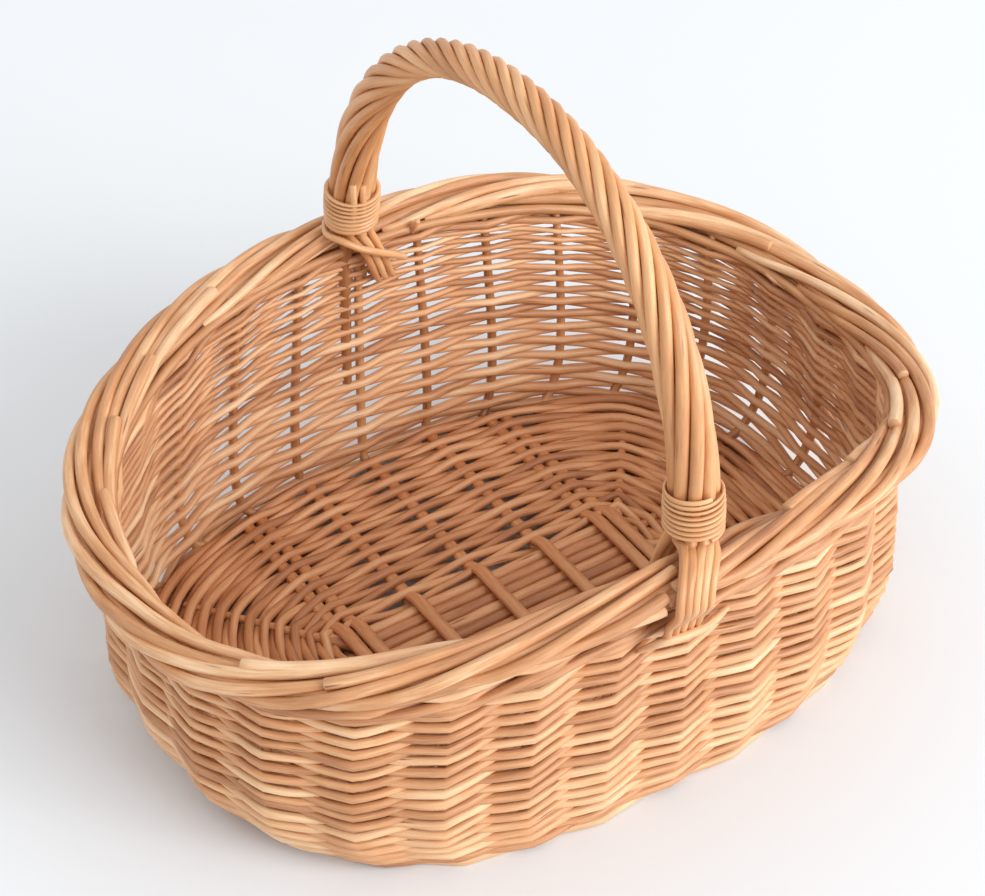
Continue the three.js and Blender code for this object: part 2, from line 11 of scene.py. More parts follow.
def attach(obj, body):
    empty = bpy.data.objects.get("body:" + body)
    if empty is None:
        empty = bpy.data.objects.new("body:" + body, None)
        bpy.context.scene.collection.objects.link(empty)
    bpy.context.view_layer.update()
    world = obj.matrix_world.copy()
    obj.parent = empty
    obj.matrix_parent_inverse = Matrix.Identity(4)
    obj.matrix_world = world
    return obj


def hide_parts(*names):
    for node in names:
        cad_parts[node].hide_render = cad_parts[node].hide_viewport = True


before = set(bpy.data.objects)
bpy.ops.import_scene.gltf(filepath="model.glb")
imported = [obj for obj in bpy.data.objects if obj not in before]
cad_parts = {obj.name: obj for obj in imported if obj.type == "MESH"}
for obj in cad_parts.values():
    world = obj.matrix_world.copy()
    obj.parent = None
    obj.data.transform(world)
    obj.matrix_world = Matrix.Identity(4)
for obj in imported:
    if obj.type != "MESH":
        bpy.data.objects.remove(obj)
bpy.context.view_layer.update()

MM = 0.001
SEED = 11

# Plan and wall, as in the part's source
RIM_HALF_LENGTH = 221
RIM_HALF_WIDTH = 164
RIM_SQUARENESS = 2.38
BASE_SQUARENESS = 2.72
RIM_HEIGHT = 163.5
RIM_DIP = 34
FOOT_ROUNDNESS = 9
BELLY = 0.13
STAKE_COUNT = 28
BORDER_HALF_WIDTH = 14
BORDER_HALF_HEIGHT = 9
BORDER_MIDDLE = RIM_HEIGHT - BORDER_HALF_HEIGHT
WALL_HEIGHT = RIM_HEIGHT - 2 * BORDER_HALF_HEIGHT
FOOT_OVAL = (170, 139)
TOP_OVAL = (197.5, 140.5)

# Weave of the wall. Three values stand for the far, the end and the near walls, and pitches for
# a row's share of the height at the floor and how much it shrinks to the top.
CLOSED_ROWS = 31
NEAR_PACKING = (14,)
FOOT_ROWS = 4
FAR_PITCH = (6.2, 3.4)
END_PITCH = (4.5, 1.4)
NEAR_PITCH = 3.7
FAR_ROD_SHARE = 0.475
END_ROD_SHARE = 0.56
NEAR_ROD = 2.34
WEAVE_DEPTH = (3.0, 3.5, 5.9)
ROW_WANDER = 0.28
ZIGZAG_CREASE = 0.9995
ZIGZAG_PEAK = 0.98
STAKE_STEPS = 8

# Stakes: inset and height of the points of a foot, and rise over the wall and distance out of the tip
STAKE_FOOT = ((20, 5.0), (10, 5.0), (3, 5.4))
STAKE_TIP = ((3, 1.5), (9, 6.0))
STAKE_RADII = (2.8, 2.2)

# Waling: its band under the border, and the swing of a rod, in and out and up and down, over three stakes.
# A rod swings up and down by the height of its round, divided by WALE_CALM.
BAND_HEIGHT = (10.5, 15.5, 27.5)
WALE_LIFT = (6.0, 5.0, 2.5)
WALE_DEPTH = (3.2, 3.6, 5.4)
WALE_ROD = (2.1, 2.2, 2.5)
WALE_CALM = (3.3, 5.5, 4)
SWING_OUT = ((0, 0.9, 1.5, 2.1, 3), (-1, 1, 0.93, 1, -1))
SWING_UP = ((0, 1, 2, 3), (-0.35, -1, 1, -0.35))

# A rod of the waling passes over the strand tips at each foot of the handle
TIP_COVER = ((-26.9, -146, 114.2), (-24.9, -152.5, 122.2), (-20, -156.8, 126), (-9.7, -157.9, 125.4),
             (1.1, -155.8, 122.5), (12.3, -150.5, 117.8), (23.2, -145, 113.9))
TIP_COVER_RADII = ((0, 8, 30, 36), (1.4, 2.2, 2.2, 1.4))

# Border: half width and half height of its rods' orbit, the turns in degrees where rods start and end at
# the most, how far a rod moves along the orbit from stake to stake, and by how many degrees a rod that
# ends on top runs on beneath the next one
BORDER_ORBIT = (10.8, 5.8)
BORDER_START = -80
BORDER_END = 200
BORDER_SLOPE = 7.3
BUTT_OVERLAP = 14

# Where a border rod ends and the next one starts over it, for some of the tracks: place, and turn in degrees
BUTTS = {5: (9.16, 101), 6: (10.36, 119), 7: (11.3, 119), 8: (12.32, 134), 12: (15.86, 90), 14: (16.76, 67),
         18: (22.44, 107), 19: (23.82, 149), 21: (24.84, 112), 22: (26.0, 111), 25: (29.24, 106),
         27: (31.6, 95), 2: (6.9, 112)}

# Thickness along a whole border rod, along one that ends at a butt and along one that starts at one
WHOLE_RADII = (2.5, 3.1, 3.2, 3.2, 3.1, 2.7, 2.2)
ENDING_RADII = (2.5, 3.1, 3.2, 3.1, 2.7)
STARTING_RADII = (3.4, 3.4, 3.1, 2.8, 2.2)
STARTING_LIFTS = (1.1, 1.1, 0.8, 0.4, -2.0)

# Border rods stop at the near edge of the handle's front foot: the edge's place and lean, the gap before
# a rod goes on beneath the strands, and how deep it lies there
PART_X = 14.0
PART_Y = 149.3
PART_LEAN = 1.15
PART_GAP = 4
PART_DEPTH = 2.6

# Heart of the border, and rods that close its lower side: turn in degrees, lift and radius
CORE_RODS = 4
CORE_TURNS = 5
CORE_LIFT = -4.9
CORE_RADIUS = 3.2
LINING = ((0, -10.6, 3.0), (-35, -1.0, 2.6), (211, 1.6, 2.6), (250, 0, 2.4))
PEG = ((31.0, 137, 149), (31.4, 134.5, 154), (31.8, 132.8, 158))
PEG_RADIUS = 1.5

# Base: the bundle of long rods, the sticks across it, and the rows round both
BASE_MID = 9.5
BASE_INSET = 4.5
BUNDLE_PITCH = 6.7
BUNDLE_HALF_LENGTH = 84
BUNDLE_HALF_WIDTH = 23
SPOKE_START = 6
SPOKE_TURNS = (-52, -17, 17, 52)
SIDE_SPOKE_X = (78, 39, 0, -39, -78)
SIDE_SPOKE_Y = 25
STICK_X = (-82.3, -73.7, -39.0, 0.0, 39.0, 73.7, 82.3)
STICK_RADIUS = 3.9
STICK_GAP = 3
BASE_ROWS = 24
BASE_ROD = 2.3
BASE_ROD_GAIN = 0.2
BASE_SWING = 3.3
BASE_SWING_LOSS = 0.5
BASE_STEPS = 8

# The spoke that each long rod runs out to at its +X and its -X end, and from where to where along it
RIGHT_SPOKES = (0, 0, 1, 1, 2, 3, 3)
LEFT_SPOKES = (12, 12, 11, 11, 10, 9, 9)
SPOKE_REACH = (0.12, 0.86)

# Handle, as in the part's source. Pairs are the value at the foot and how much less it is at the top.
HANDLE_SKEW = 4.4
ARCH_FOOT = 159
ARCH_HALF_WIDTH = TOP_OVAL[1] - 2
ARCH_RISE = 161.8
ARCH_SQUARENESS = 2.15
ARCH_START = 0.04
BOW_TAIL_OFFSET = 8.1
BOW_TAIL_HEIGHTS = (62, 94, 125.5, 145.5)
BOW_TAIL_RADII = (2.6, 3, 3.3, 3.6)
BOW_RADIUS = (5.2, 0.9)
STRAND_COUNT = 8
STRAND_TWIST = 3 * 2 * math.pi
STRAND_EASING = 0.8
STRAND_RADIUS = (3.15, 0.75)
STRAND_ORBIT = (8.6, 1.75)
STRAND_LANE = 4.5
STRAND_LEAN = 19.5
STRAND_CLOSING = 0.3
STRAND_TIP_RADII = (1.7, 2.2, 3.1)

# Feet of the strands, from the handle to the tip. Over the border: distance out as a share of its edge,
# height, and share of the lean. Against the wall: height, distance from the stake line, and share of the
# lean.
FOOT_EDGE = BORDER_HALF_WIDTH + 2.6
FOOT_OVER_BORDER = ((0.3, RIM_HEIGHT + 1.9, 0.43), (0.7, BORDER_MIDDLE + 7.8, 0.73),
                    (0.96, BORDER_MIDDLE + 1.5, 0.93), (0.95, BORDER_MIDDLE - 6, 0.94))
FOOT_OUTSIDE = ((138, 19, 0.9), (131, 16.5, 0.84), (125, 13.5, 0.78), (120, 10.5, 0.74))
FOOT_INSIDE = ((WALL_HEIGHT - 2, 10.8, 0.54), (134, 8.4, 0.74), (127, 4.0, 0.96))

# Two cut ends that stand up out of the back binding
STUBS = (((-9.2, 128.0, 176), (-9.8, 126.2, 189), (-10.4, 125.6, 201)),
         ((-4.4, 127.0, 176), (-4.8, 125.4, 188), (-5.2, 125.0, 199)))
STUB_RADIUS = 1.75
STUB_TONES = (0.95, 0.8)

# Bindings: one cane in loops round all strands at each foot, and the loose tail of the back one
BINDING_ORBIT = 13.1
BINDING_LOOPS = 8
BINDING_PITCH = 2.7
BINDING_RADIUS = 1.32
BINDING_FLAT = 0.62
BINDING_RISE = 3
LOOP_STEPS = 28
LOOSE_TAIL = ((-14, 149, 166), (-18.6, 139, 166), (-15.3, 128, 166.5), (-7.5, 124, 161.5), (3, 124, 155),
              (13, 125.8, 148.5), (21, 129, 142))
LOOSE_RADII = ((0, 8, 28, 36), (1.3, 2.1, 2.4, 2.2))

# Willow. Patterns: how fast each changes along a rod, per metre, and round it.
DRIFT_PATTERN = (22.0, 0.25)
STREAK_PATTERN = (60.0, 2.6)
FINE_PATTERN = (260.0, 7.0)
KNOT_PATTERN = (16.0, 0.5)
TONE_WEIGHT = 0.34
DRIFT_WEIGHT = 0.58
STREAK_WEIGHT = 0.5
LEVEL_SHIFT = 0.21
RAMP_STOPS = (0.2, 0.5, 0.82)
KNOT_SIZE = (0.055, 0.12)
KNOT_STRENGTH = 0.75
KNOT_SHADE = (0.42, 0.36, 0.33)
CUT_SHADE = (0.68, 0.56, 0.48)
ROUGHNESS_SPREAD = (-0.08, 0.14)
FINE_BUMP = 0.35
BUMP_STRENGTH = 0.35
BUMP_DISTANCE = 0.0006

# Cut end of a rod, as shares of its radius: the bevel's inset and rise, and the height of the dome
CUT_INSET = 0.82
CUT_RISE = 0.2
CUT_DOME = 0.25

# Floor, light and camera: the camera has the photograph's own viewing angle, distance and lens
FLOOR_HALF = 8
FLOOR_COLOUR = (0.80, 0.832, 0.862, 1)
SURROUND_LIGHT = 0.87
SURROUND_SEEN = 1.0
HIGH_LAMP_POWER = 117
LOW_LAMP_POWER = 74
AZIMUTH = math.radians(-34.35)
ELEVATION = math.radians(41.05)
ROLL = math.radians(1.11)
DISTANCE = 1.29931
TARGET = (-9.66, 0, 120.24)
FOCAL_PIXELS = 2676.68
PHOTO_WIDTH = 985
SENSOR_WIDTH = 36

rng = np.random.default_rng(SEED)


def smooth(x, low, high):
    t = np.clip((np.asarray(x, float) - low) / (high - low), 0, 1)
    return t * t * (3 - 2 * t)


def superellipse(angle, length, width, squareness):
    power = 2 / squareness
    c, s = np.cos(angle), np.sin(angle)
    return np.stack([length * np.sign(c) * np.abs(c) ** power, width * np.sign(s) * np.abs(s) ** power], -1)


def rim_dip(angle):
    return RIM_DIP * superellipse(angle, 1, 1, RIM_SQUARENESS)[..., 0] ** 2


def wall_height(angle):
    return WALL_HEIGHT - rim_dip(angle)


def stake_oval(angle, share):
    rise = np.clip(share, 0, 1)
    spread = (1 - (1 - rise) ** FOOT_ROUNDNESS) * (1 + BELLY * np.sin(np.pi * rise))
    length = FOOT_OVAL[0] + (TOP_OVAL[0] - FOOT_OVAL[0]) * spread
    width = FOOT_OVAL[1] + (TOP_OVAL[1] - FOOT_OVAL[1]) * spread
    squareness = BASE_SQUARENESS + (RIM_SQUARENESS - BASE_SQUARENESS) * rise
    return superellipse(angle, length, width, squareness)


def outward(oval, angle):
    along = oval(angle + 1e-3) - oval(angle - 1e-3)
    along /= np.linalg.norm(along, axis=-1, keepdims=True)
    return np.stack([along[..., 1], -along[..., 0]], -1)


# A point of the wall: its angle, its height over the floor and its distance outside the stake line
def wall_point(angle, height, out):
    share = height / wall_height(angle)
    oval = lambda a: stake_oval(a, share)
    plan = oval(angle) + np.asarray(out)[..., None] * outward(oval, angle)
    return np.concatenate([plan, np.broadcast_to(height, plan.shape[:-1])[..., None]], -1)


# Places round the basket are counted in stakes, from 0 at the +X end
table_angles = np.linspace(0, 2 * np.pi, 2881)
table_plan = stake_oval(table_angles, 0.5)
table_lengths = np.concatenate([[0], np.cumsum(np.linalg.norm(np.diff(table_plan, axis=0), axis=1))])


def angle_at(place):
    turns = np.floor(np.asarray(place) / STAKE_COUNT)
    rest = np.asarray(place) - turns * STAKE_COUNT
    return 2 * np.pi * turns + np.interp(rest * table_lengths[-1] / STAKE_COUNT, table_lengths, table_angles)


# A smooth random wander along a rod, made of seven waves
def wander(places, size, waves=(3, 17)):
    total = np.zeros(len(places))
    for _ in range(7):
        turns = rng.integers(*waves)
        total += np.sin(2 * np.pi * turns * np.asarray(places) / STAKE_COUNT + rng.uniform(0, 2 * np.pi))
    return size * total / 2.6


# A smooth curve through some points
def spline(points, steps):
    p = np.asarray(points, float)
    p = np.vstack([2 * p[0] - p[1], p, 2 * p[-1] - p[-2]])
    out = []
    for i in range(1, len(p) - 2):
        for s in range(steps):
            t = s / steps
            out.append(0.5 * (2 * p[i] + (p[i + 1] - p[i - 1]) * t
                              + (2 * p[i - 1] - 5 * p[i] + 4 * p[i + 1] - p[i + 2]) * t * t
                              + (3 * p[i] - p[i - 1] - 3 * p[i + 1] + p[i + 2]) * t ** 3))
    out.append(p[-2])
    return np.array(out)


# One rod: its middle line and its radius, how flat it is, which way is up on its section, and its tone
def rod(points, radius, closed=False, flat=1.0, hint=(0, 0, 1), tone=None):
    points = np.asarray(points, float)
    radius = np.broadcast_to(np.asarray(radius, float), len(points))
    flat = np.broadcast_to(np.asarray(flat, float), len(points))
    return {"points": points, "radius": radius, "flat": flat, "closed": closed, "hint": hint,
            "tone": rng.uniform() if tone is None else tone}


# The rings of a rod's surface. Straight up stays the hint all along, and another hint turns with the rod.
def rings_of(r, sides):
    p = r["points"]
    if r["closed"]:
        along = np.roll(p, -1, 0) - np.roll(p, 1, 0)
    else:
        along = np.gradient(p, axis=0)
    along /= np.linalg.norm(along, axis=1, keepdims=True)
    up = np.array(r["hint"], float)
    turn = 2 * np.pi * np.arange(sides) / sides
    rings = []
    for i in range(len(p)):
        lift = up - along[i] * (up @ along[i])
        lift /= np.linalg.norm(lift)
        if r["hint"] != (0, 0, 1):
            up = lift
        side = np.cross(along[i], lift)
        rings.append(p[i] + r["radius"][i] * (
            np.cos(turn)[:, None] * side + r["flat"][i] * np.sin(turn)[:, None] * lift))
    return rings, along


# A mesh of many rods, with each rod's tone and its cut ends as attributes for the material
def mesh_of_rods(name, rods, sides=8):
    verts, faces, uvs, tones, cuts = [], [], [], [], []
    for r in rods:
        rings, along = rings_of(r, sides)
        count = len(rings)
        start = len(verts)
        steps = np.linalg.norm(np.diff(r["points"], axis=0), axis=1)
        run = np.concatenate([[0], np.cumsum(steps)])
        for ring in rings:
            verts.extend(ring)
        tones.extend([r["tone"]] * (count * sides))
        cuts.extend([0.0] * (count * sides))
        spans = count if r["closed"] else count - 1
        for i in range(spans):
            here, there = start + i * sides, start + ((i + 1) % count) * sides
            near, far = run[i], run[i + 1] if i + 1 < count else run[i] + 5
            for j in range(sides):
                k = (j + 1) % sides
                low, high = j / sides, (j + 1) / sides
                faces.append((here + j, here + k, there + k, there + j))
                uvs.extend([(near, low), (near, high), (far, high), (far, low)])
        if r["closed"]:
            continue
        for end, sign in ((0, -1), (count - 1, 1)):
            ring = rings[end]
            middle = r["points"][end]
            inner = len(verts)
            dome = middle + along[end] * sign * CUT_DOME * r["radius"][end]
            bevel = middle + (ring - middle) * CUT_INSET + along[end] * sign * CUT_RISE * r["radius"][end]
            verts.extend(bevel)
            verts.append(dome)
            tones.extend([r["tone"]] * (sides + 1))
            cuts.extend([1.0] * (sides + 1))
            base = start + end * sides
            for j in range(sides):
                k = (j + 1) % sides
                quad = (base + k, base + j, inner + j, inner + k)
                tip = (inner + k, inner + j, inner + sides)
                faces.append(quad if sign < 0 else quad[::-1])
                faces.append(tip if sign < 0 else tip[::-1])
                uvs.extend([(run[end], j / sides)] * 7)
    mesh = bpy.data.meshes.new(name)
    mesh.from_pydata((np.array(verts) * MM).tolist(), [], faces)
    layer = mesh.uv_layers.new(name="UVMap")
    layer.data.foreach_set("uv", (np.array(uvs) * (MM, 1)).ravel().astype(np.float32))
    for key, values in (("tone", tones), ("cut", cuts)):
        attribute = mesh.attributes.new(key, "FLOAT", "POINT")
        attribute.data.foreach_set("value", np.array(values, np.float32))
    mesh.polygons.foreach_set("use_smooth", np.ones(len(mesh.polygons), bool))
    mesh.update()
    return mesh


# A piece of the basket, made of rods, that stands in for the solids named in nodes
def piece(name, rods, nodes, material, sides=8):
    mesh = mesh_of_rods(name, rods, sides)
    mesh.materials.append(material)
    made = bpy.data.objects.new(name, mesh)
    bpy.context.scene.collection.objects.link(made)
    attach(made, "root")
    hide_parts(*nodes)


# Willow: colour drifts from rod to rod and along each rod, with fine grain, a few knots and shaded cut ends
def willow(name, dark, mid, pale, roughness=0.43, gloss=0.65, grain=1.0):
    material = bpy.data.materials.new(name)
    material.use_nodes = True
    nodes, links = material.node_tree.nodes, material.node_tree.links
    shader = nodes["Principled BSDF"]

    def node(kind, **inputs):
        made = nodes.new(kind)
        for key, value in inputs.items():
            made.inputs[key].default_value = value
        return made

    def math_node(operation, a, b=None):
        made = nodes.new("ShaderNodeMath")
        made.operation = operation
        for slot, value in enumerate((a, b)):
            if value is None:
                continue
            if isinstance(value, (int, float)):
                made.inputs[slot].default_value = value
            else:
                links.new(value, made.inputs[slot])
        return made.outputs[0]

    def mixed(factor, colour, other):
        made = nodes.new("ShaderNodeMix")
        made.data_type = "RGBA"
        links.new(factor, made.inputs["Factor"])
        links.new(colour, made.inputs["A"])
        made.inputs["B"].default_value = other
        return made.outputs["Result"]

    tone = nodes.new("ShaderNodeAttribute")
    tone.attribute_name = "tone"
    cut = nodes.new("ShaderNodeAttribute")
    cut.attribute_name = "cut"
    uv = nodes.new("ShaderNodeUVMap")
    uv.uv_map = "UVMap"
    split = nodes.new("ShaderNodeSeparateXYZ")
    links.new(uv.outputs[0], split.inputs[0])
    turn = math_node("MULTIPLY", split.outputs[1], 2 * math.pi)
    place = math_node("ADD", split.outputs[0], math_node("MULTIPLY", tone.outputs["Fac"], 40.0))
    round_x, round_y = math_node("COSINE", turn), math_node("SINE", turn)

    def along(stretch, width):
        made = nodes.new("ShaderNodeCombineXYZ")
        links.new(math_node("MULTIPLY", place, stretch), made.inputs[0])
        links.new(math_node("MULTIPLY", round_x, width), made.inputs[1])
        links.new(math_node("MULTIPLY", round_y, width), made.inputs[2])
        return made.outputs[0]

    drift = node("ShaderNodeTexNoise", Scale=1.0, Detail=2.0, Roughness=0.5)
    links.new(along(*DRIFT_PATTERN), drift.inputs["Vector"])
    streak = node("ShaderNodeTexNoise", Scale=1.0, Detail=3.0, Roughness=0.6)
    links.new(along(*STREAK_PATTERN), streak.inputs["Vector"])
    fine = node("ShaderNodeTexNoise", Scale=1.0, Detail=2.0, Roughness=0.6)
    links.new(along(*FINE_PATTERN), fine.inputs["Vector"])
    knots = node("ShaderNodeTexVoronoi", Scale=1.0)
    links.new(along(*KNOT_PATTERN), knots.inputs["Vector"])

    level = math_node("MULTIPLY", tone.outputs["Fac"], TONE_WEIGHT)
    level = math_node("ADD", level, math_node("MULTIPLY", drift.outputs["Fac"], DRIFT_WEIGHT))
    level = math_node("ADD", level, math_node("MULTIPLY", streak.outputs["Fac"], STREAK_WEIGHT))
    level = math_node("SUBTRACT", level, LEVEL_SHIFT)
    ramp = nodes.new("ShaderNodeValToRGB")
    ramp.color_ramp.elements[0].position = RAMP_STOPS[0]
    ramp.color_ramp.elements[0].color = (*dark, 1)
    ramp.color_ramp.elements[1].position = RAMP_STOPS[2]
    ramp.color_ramp.elements[1].color = (*pale, 1)
    middle = ramp.color_ramp.elements.new(RAMP_STOPS[1])
    middle.color = (*mid, 1)
    links.new(level, ramp.inputs[0])

    spot = nodes.new("ShaderNodeMapRange")
    spot.inputs["From Min"].default_value = KNOT_SIZE[0]
    spot.inputs["From Max"].default_value = KNOT_SIZE[1]
    spot.inputs["To Min"].default_value = KNOT_STRENGTH
    spot.inputs["To Max"].default_value = 0.0
    links.new(knots.outputs["Distance"], spot.inputs["Value"])
    knot_colour = [value * shade for value, shade in zip(dark, KNOT_SHADE)]
    cut_colour = [value * shade for value, shade in zip(pale, CUT_SHADE)]
    knotted = mixed(spot.outputs[0], ramp.outputs[0], (*knot_colour, 1))
    ended = mixed(cut.outputs["Fac"], knotted, (*cut_colour, 1))
    links.new(ended, shader.inputs["Base Color"])

    rough = nodes.new("ShaderNodeMapRange")
    rough.inputs["To Min"].default_value = roughness + ROUGHNESS_SPREAD[0]
    rough.inputs["To Max"].default_value = roughness + ROUGHNESS_SPREAD[1]
    links.new(streak.outputs["Fac"], rough.inputs["Value"])
    links.new(rough.outputs[0], shader.inputs["Roughness"])
    shader.inputs["Specular IOR Level"].default_value = gloss

    height = math_node("ADD", streak.outputs["Fac"], math_node("MULTIPLY", fine.outputs["Fac"], FINE_BUMP))
    bump = node("ShaderNodeBump", Strength=BUMP_STRENGTH * grain, Distance=BUMP_DISTANCE)
    links.new(height, bump.inputs["Height"])
    links.new(bump.outputs[0], shader.inputs["Normal"])
    return material


siding_willow = willow("willow_siding", (0.40, 0.160, 0.062), (0.71, 0.362, 0.166), (0.90, 0.630, 0.375))
border_willow = willow("willow_border", (0.38, 0.147, 0.053), (0.65, 0.315, 0.135), (0.93, 0.660, 0.405))
strand_willow = willow("willow_strands", (0.45, 0.190, 0.070), (0.70, 0.345, 0.145), (0.86, 0.56, 0.30), 0.38)
base_willow = willow("willow_base", (0.33, 0.117, 0.040), (0.62, 0.268, 0.107), (0.86, 0.480, 0.235))
stake_willow = willow("willow_stakes", (0.30, 0.115, 0.042), (0.50, 0.225, 0.090), (0.66, 0.36, 0.165))
cane = willow("cane", (0.50, 0.225, 0.085), (0.70, 0.355, 0.155), (0.84, 0.54, 0.29), 0.26, 0.6, 0.5)

# The places and angles at which the rows of the wall have their points
places = np.arange(0, STAKE_COUNT, 1 / STAKE_STEPS)
angles = angle_at(places)


# How much a place belongs to the near wall and to the far wall, each from 0 to 1
def near_far(angle):
    along, across = np.moveaxis(superellipse(angle, 1, 1, RIM_SQUARENESS), -1, 0)
    lean = np.where(along > 0, 0.5, 0.25) * along
    return smooth(-across, 0.35, 0.95), smooth(across + lean, 0.35, 0.9)


# A value for the far, the end and the near walls, blended at every place
def blend(far_value, end_value, near_value, angle):
    near, far = near_far(angle)
    return end_value + (near_value - end_value) * near + (far_value - end_value) * far


# How high the band of waling is, between the siding and the border
def band_height(angle):
    return blend(*BAND_HEIGHT, angle)


# The rows from the floor up, each with its share of the height, its thickness and where it runs:
# even on the near wall, and finer towards the top on the others
def row_plan():
    near, _ = near_far(angles)
    rows = []
    for i in range(CLOSED_ROWS):
        rise = i / (CLOSED_ROWS - 1)
        far_pitch = FAR_PITCH[0] - FAR_PITCH[1] * rise
        end_pitch = END_PITCH[0] - END_PITCH[1] * rise
        weight = blend(far_pitch, end_pitch, NEAR_PITCH, angles)
        radius = blend(FAR_ROD_SHARE * far_pitch, END_ROD_SHARE * end_pitch, NEAR_ROD, angles)
        rows.append({"weight": weight, "radius": radius, "parity": i, "span": None})
        if i in NEAR_PACKING:
            for parity in (i + 1, i):
                rows.append({"weight": NEAR_PITCH * near, "radius": radius, "parity": parity,
                             "span": near > 0.04})
    return rows


# How far along the wall's profile each height lies, at every place, so that rows are spaced along it
profile_shares = np.linspace(0, 1, 81)[:, None]
profile_plan = stake_oval(angles[None, :], profile_shares)
profile_heights = profile_shares * wall_height(angles)[None, :]
profile_squares = np.sum(np.diff(profile_plan, axis=0) ** 2, axis=-1)
profile_steps = np.sqrt(profile_squares + np.diff(profile_heights, axis=0) ** 2)
profile_runs = np.vstack([np.zeros(len(places)), np.cumsum(profile_steps, axis=0)])


def run_at(heights):
    return np.array([np.interp(h, profile_heights[:, i], profile_runs[:, i]) for i, h in enumerate(heights)])


def height_at(runs):
    return np.array([np.interp(r, profile_runs[:, i], profile_heights[:, i]) for i, r in enumerate(runs)])


# Over one stake and under the next, nearly straight between them
def zigzag(places, parity):
    wave = 2 * np.arcsin(ZIGZAG_CREASE * np.cos(np.pi * (places + parity))) / math.pi
    return wave / ZIGZAG_PEAK


def siding_rods():
    rows = row_plan()
    total = np.sum([r["weight"] for r in rows], axis=0)
    top = run_at(wall_height(angles) + blend(*WALE_LIFT, angles) - band_height(angles) + 0.9)
    deep = blend(*WEAVE_DEPTH, angles)
    level = np.zeros(len(places))
    rods = []
    for row in rows:
        share, thick = row["weight"], row["radius"]
        height = height_at(1.0 + (level + share / 2) / total * (top - 1))
        level = level + share
        height = np.maximum(height + wander(places, ROW_WANDER), thick)
        radius = thick * (1 + wander(places, 0.06)) * rng.uniform(0.92, 1.08)
        wave = zigzag(places, row["parity"])
        depth = deep * (0.45 + 0.55 * smooth(height, 4, 32))
        out = depth * wave + wander(places, 0.25, (20, 60))
        line = wall_point(angles, height, out)
        flat = 0.9 + 0.1 * np.abs(wave)
        if row["span"] is None:
            rods.append(rod(line, radius, closed=True, flat=flat))
            continue
        inside = row["span"]
        first = int(np.flatnonzero(inside & ~np.roll(inside, 1))[0])
        order = (first + np.arange(inside.sum())) % len(places)
        taper = 0.55 + 0.45 * smooth(share[order] / NEAR_PITCH, 0.0, 0.6)
        rods.append(rod(line[order], radius[order] * taper, flat=flat[order]))
    return rods


siding = siding_rods()
piece("foot_weave", siding[:FOOT_ROWS], ["upsett_wale"], siding_willow)
piece("side_weave", siding[FOOT_ROWS:], ["siding"], siding_willow)


# Stakes: from the base, round the foot of the wall and up into the border
def stake_rod(k):
    angle = angle_at(k)
    foot_oval = lambda a: stake_oval(a, 0)
    line = []
    for inset, height in STAKE_FOOT:
        plan = foot_oval(angle) - inset * outward(foot_oval, angle)
        line.append((plan[0], plan[1], height))
    top = wall_height(angle)
    for height in [10, *np.linspace(18, top - 2, 9)]:
        line.append(wall_point(angle, height, 0.0))
    for rise, out in STAKE_TIP:
        line.append(wall_point(angle, top + rise, out))
    radius = np.linspace(*STAKE_RADII, len(line))
    across = np.diff(wall_point(angle + np.array([-0.01, 0.01]), 10.0, np.zeros(2)), axis=0)[0]
    return rod(line, radius, hint=tuple(across))


for k in range(STAKE_COUNT):
    name = f"stake_{k + 1:02d}"
    piece(f"{name}_rod", [stake_rod(k)], [name], stake_willow)


# Waling: a round is woven of strands that each pass in front of two stakes and behind one.
# 28 stakes don't divide by three, so one rod goes three times round before it meets its own start.
def wale_rods():
    laps = np.arange(0, 3 * STAKE_COUNT, 1 / STAKE_STEPS)
    turned = angle_at(laps)
    near, far = near_far(turned)
    band = band_height(turned)
    bottom = wall_height(turned) + blend(*WALE_LIFT, turned) - band
    deep = blend(*WALE_DEPTH, turned)
    thick = blend(*WALE_ROD, turned)
    shares = [np.ones(len(laps)), 1 - far, near]
    total = sum(shares)
    level = np.zeros(len(laps))
    rods = []
    for m, share in enumerate(shares):
        size = share / total * band
        middle = bottom + level + size / 2
        level = level + size
        step = (laps - m) % 3
        out = np.interp(step, *SWING_OUT) * deep
        rise = np.interp(step, *SWING_UP) * size / blend(*WALE_CALM, turned)
        line = wall_point(turned, middle + rise + wander(laps, 0.3), out + wander(laps, 0.2))
        radius = thick * (1 + wander(laps, 0.05))
        if m == 0:
            rods.append(rod(line, radius, closed=True))
            continue
        for lap in range(3):
            window = (np.arange(len(laps) // 3) + int((lap + 0.25) * len(laps) / 3)) % len(laps)
            order = window[share[window] > 0.1]
            taper = 0.5 + 0.5 * smooth(share[order], 0.1, 0.5)
            rods.append(rod(line[order], radius[order] * taper))
    return rods


def tip_covers():
    front = spline(TIP_COVER, 6)
    radius = np.interp(np.arange(len(front)), *TIP_COVER_RADII)
    return [rod(front * (side, side, 1), radius, tone=0.85) for side in (1, -1)]


piece("wale_weave", wale_rods() + tip_covers(), ["top_wale"], siding_willow)


def border_oval(angle):
    return superellipse(angle, RIM_HALF_LENGTH - BORDER_HALF_WIDTH, RIM_HALF_WIDTH - BORDER_HALF_WIDTH,
                        RIM_SQUARENESS)


# Border: a point round its oval section, where 0 degrees is outside and 90 is on top
def border_point(place, turn, lift):
    angle = angle_at(place)
    out = (BORDER_ORBIT[0] + lift) * np.cos(turn)
    plan = border_oval(angle) + out[..., None] * outward(border_oval, angle)
    height = BORDER_MIDDLE - rim_dip(angle) + (BORDER_ORBIT[1] + lift) * np.sin(turn)
    return np.concatenate([plan, height[..., None]], -1)


